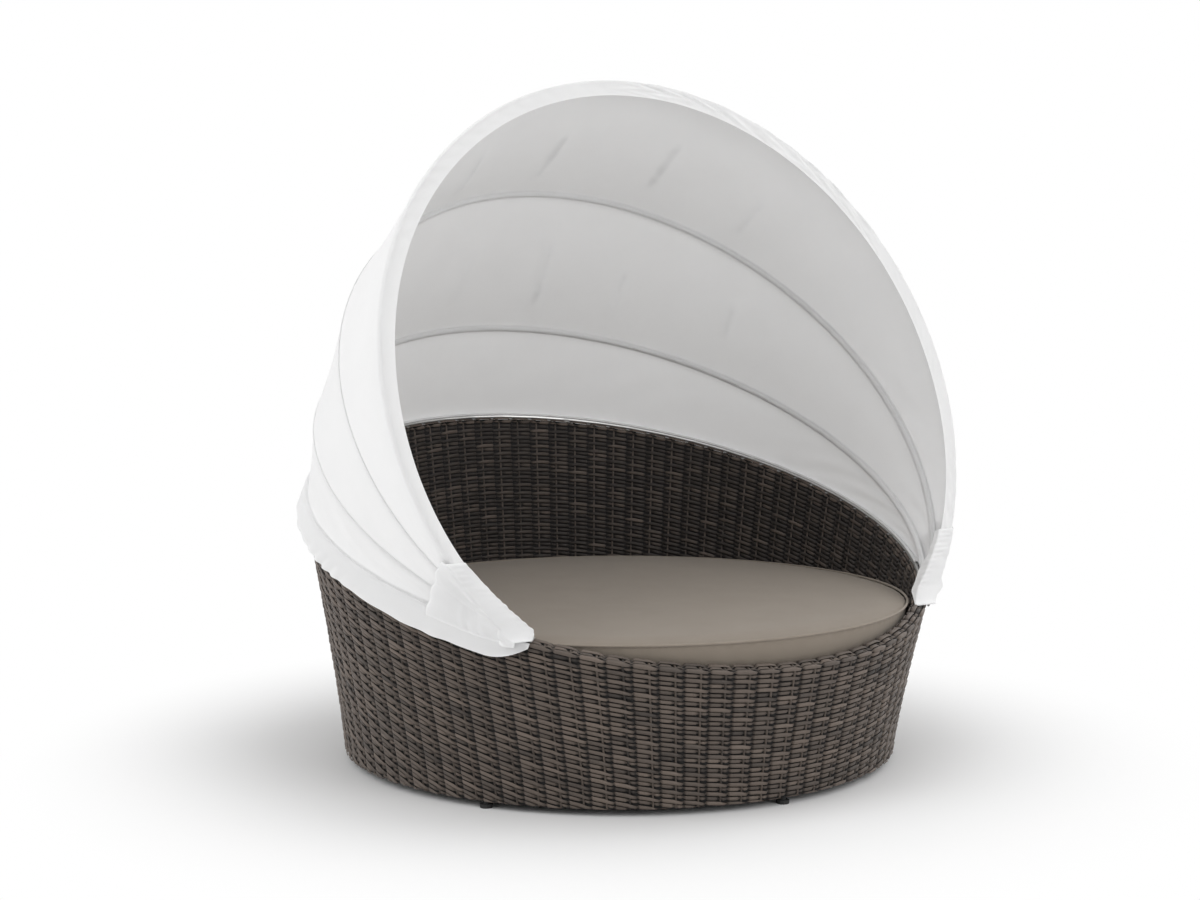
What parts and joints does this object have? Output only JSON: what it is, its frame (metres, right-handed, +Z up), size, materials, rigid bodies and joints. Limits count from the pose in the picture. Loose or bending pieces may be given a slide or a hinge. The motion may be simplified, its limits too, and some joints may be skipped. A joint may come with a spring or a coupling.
{
  "type": "outdoor daybed with canopy",
  "caption": "Round woven outdoor daybed with a low front and a high back, a deep round cushion, and a folding cloth canopy on hoops that swing on side pivots.",
  "frame": {"origin": "centre of the footprint's bounding box, on the floor", "axes": "+Z up, -Y toward the open front, +X to the sitter's left as the sitter faces the front"},
  "size_m": [1.8568, 1.7508, 1.9102],
  "materials": {
    "wicker": "dark grey-brown flat resin wicker, woven, satin, lighter along the strands' edges",
    "frame": "satin powder coat, dark grey-brown",
    "bow": "satin, bare tube",
    "steel": "brushed",
    "rubber": "matt",
    "cushion": "taupe plain-weave outdoor fabric, matt, with a lighter welt along the top seam",
    "cloth": "white stretched polyester cloth, matt, stitched seams"
  },
  "bodies": {
    "tub": {"wicker_outer": "wicker", "wicker_inner": "wicker", "rim_border": "wicker", "base_ring": "frame", "seat_ring": "frame", "rim_ring": "frame", "upright_1": "frame", "upright_2": "frame", "upright_3": "frame", "upright_4": "frame", "upright_5": "frame", "upright_6": "frame", "upright_7": "frame", "upright_8": "frame", "deck_slat_1": "frame", "deck_slat_2": "frame", "deck_slat_3": "frame", "deck_slat_4": "frame", "deck_slat_5": "frame", "deck_slat_6": "frame", "deck_slat_7": "frame", "deck_slat_8": "frame", "deck_slat_9": "frame", "deck_beam_left": "frame", "deck_beam_right": "frame", "glide_1": "rubber", "glide_2": "rubber", "glide_3": "rubber", "glide_4": "rubber", "glide_5": "rubber", "glide_6": "rubber", "cushion": "cushion", "rim_bow": "bow", "rim_bow_clip_1": "steel", "rim_bow_clip_2": "steel", "rim_bow_clip_3": "steel", "rim_bow_clip_4": "steel", "rim_bow_clip_5": "steel", "rim_bow_clip_6": "steel", "pivot_bracket_left": "steel", "pivot_bracket_right": "steel", "bracket_screw_left_1": "steel", "bracket_screw_left_2": "steel", "bracket_screw_right_1": "steel", "bracket_screw_right_2": "steel", "pivot_pin_left": "steel", "pivot_pin_right": "steel", "pivot_cap_left": "steel", "pivot_cap_right": "steel", "valance": "cloth"},
    "rear_hoop": {"rear_bow": "bow", "rear_gore": "cloth"},
    "middle_hoop": {"middle_bow": "bow", "middle_gore": "cloth"},
    "front_hoop": {"front_bow": "bow", "front_gore": "cloth", "front_hem": "cloth", "foot_cover_left": "cloth", "foot_cover_right": "cloth"}
  },
  "joints": [
    {"name": "rear_bow_fold", "type": "hinge", "parent": "tub", "child": "rear_hoop", "pos_m": [0, -0.5799, 0.48276], "axis": [1, 0, 0], "range_deg": [-7, 0], "deforming": ["rear_gore"]},
    {"name": "middle_bow_fold", "type": "hinge", "parent": "rear_hoop", "child": "middle_hoop", "pos_m": [0, -0.5799, 0.48276], "axis": [1, 0, 0], "range_deg": [-16, 0], "deforming": ["middle_gore"]},
    {"name": "front_bow_fold", "type": "hinge", "parent": "middle_hoop", "child": "front_hoop", "pos_m": [0, -0.5799, 0.48276], "axis": [1, 0, 0], "range_deg": [-16, 0], "deforming": ["front_gore"]}
  ],
  "couplings": [
    {"joint": "rear_bow_fold", "follows": "front_bow_fold", "ratio": 0.4375},
    {"joint": "middle_bow_fold", "follows": "front_bow_fold", "ratio": 1}
  ]
}
